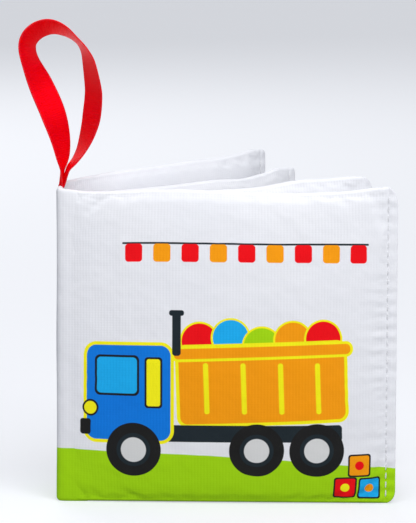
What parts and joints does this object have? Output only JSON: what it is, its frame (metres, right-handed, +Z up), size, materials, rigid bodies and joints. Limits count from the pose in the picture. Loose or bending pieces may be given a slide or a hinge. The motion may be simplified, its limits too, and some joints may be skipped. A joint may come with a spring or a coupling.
{
  "type": "soft squeaker baby book",
  "caption": "Sewn cloth baby book with padded leaves that turn on a soft spine, a squeaker inside the front cover and a satin ribbon loop at the top of the spine.",
  "frame": {"origin": "foot of the spine, at its middle, on the surface that the book stands on", "axes": "+Z up along the spine, +X from the spine along the front cover, -Y out of the front cover"},
  "size_m": [0.1344, 0.1155, 0.1713],
  "materials": {
    "printed_cloth": "matte woven polyester, printed",
    "foam": "open-cell foam",
    "satin_ribbon": "satin weave, soft sheen",
    "squeaker_plastic": "blow-moulded, semi-matt"
  },
  "bodies": {
    "back_cover": {"back_cover_lining_panel": "printed_cloth", "back_cover_outer_panel": "printed_cloth", "back_cover_foam_pad": "foam", "spine_strip_back": "printed_cloth"},
    "leaf_2": {"leaf_2_front_panel": "printed_cloth", "leaf_2_back_panel": "printed_cloth", "leaf_2_foam_pad": "foam", "spine_strip_middle": "printed_cloth", "loop_sewn_ends": "satin_ribbon"},
    "leaf_1": {"leaf_1_front_panel": "printed_cloth", "leaf_1_back_panel": "printed_cloth", "leaf_1_foam_pad": "foam", "spine_strip_front": "printed_cloth"},
    "front_cover": {"front_cover_outer_panel": "printed_cloth", "front_cover_lining_panel": "printed_cloth", "front_cover_foam_pad": "foam", "squeaker_base": "squeaker_plastic", "squeaker_bellows": "squeaker_plastic", "squeaker_whistle": "squeaker_plastic"},
    "squeaker_cap": {"squeaker_cap": "squeaker_plastic"},
    "ribbon_loop": {"ribbon_loop": "satin_ribbon"}
  },
  "joints": [
    {"name": "leaf_2_turn", "type": "hinge", "parent": "back_cover", "child": "leaf_2", "pos_m": [0, 0.0022, 0], "axis": [0, 0, -1], "range_deg": [-1.5, 65]},
    {"name": "leaf_1_turn", "type": "hinge", "parent": "leaf_2", "child": "leaf_1", "pos_m": [0, -0.0022, 0], "axis": [0, 0, -1], "range_deg": [-19.9, 75]},
    {"name": "front_cover_turn", "type": "hinge", "parent": "leaf_1", "child": "front_cover", "pos_m": [0, -0.0066, 0], "axis": [0, 0, -1], "range_deg": [-15, 140]},
    {"name": "squeaker_press", "type": "slide", "parent": "front_cover", "child": "squeaker_cap", "axis": [0, 1, 0], "range_m": [0, 0.0026], "stiffness_N_per_m": 300, "deforming": ["squeaker_bellows"]},
    {"name": "ribbon_swing", "type": "hinge", "parent": "leaf_2", "child": "ribbon_loop", "pos_m": [0, 0, 0.1121], "axis": [0, 1, 0], "range_deg": [-46, 45]}
  ]
}
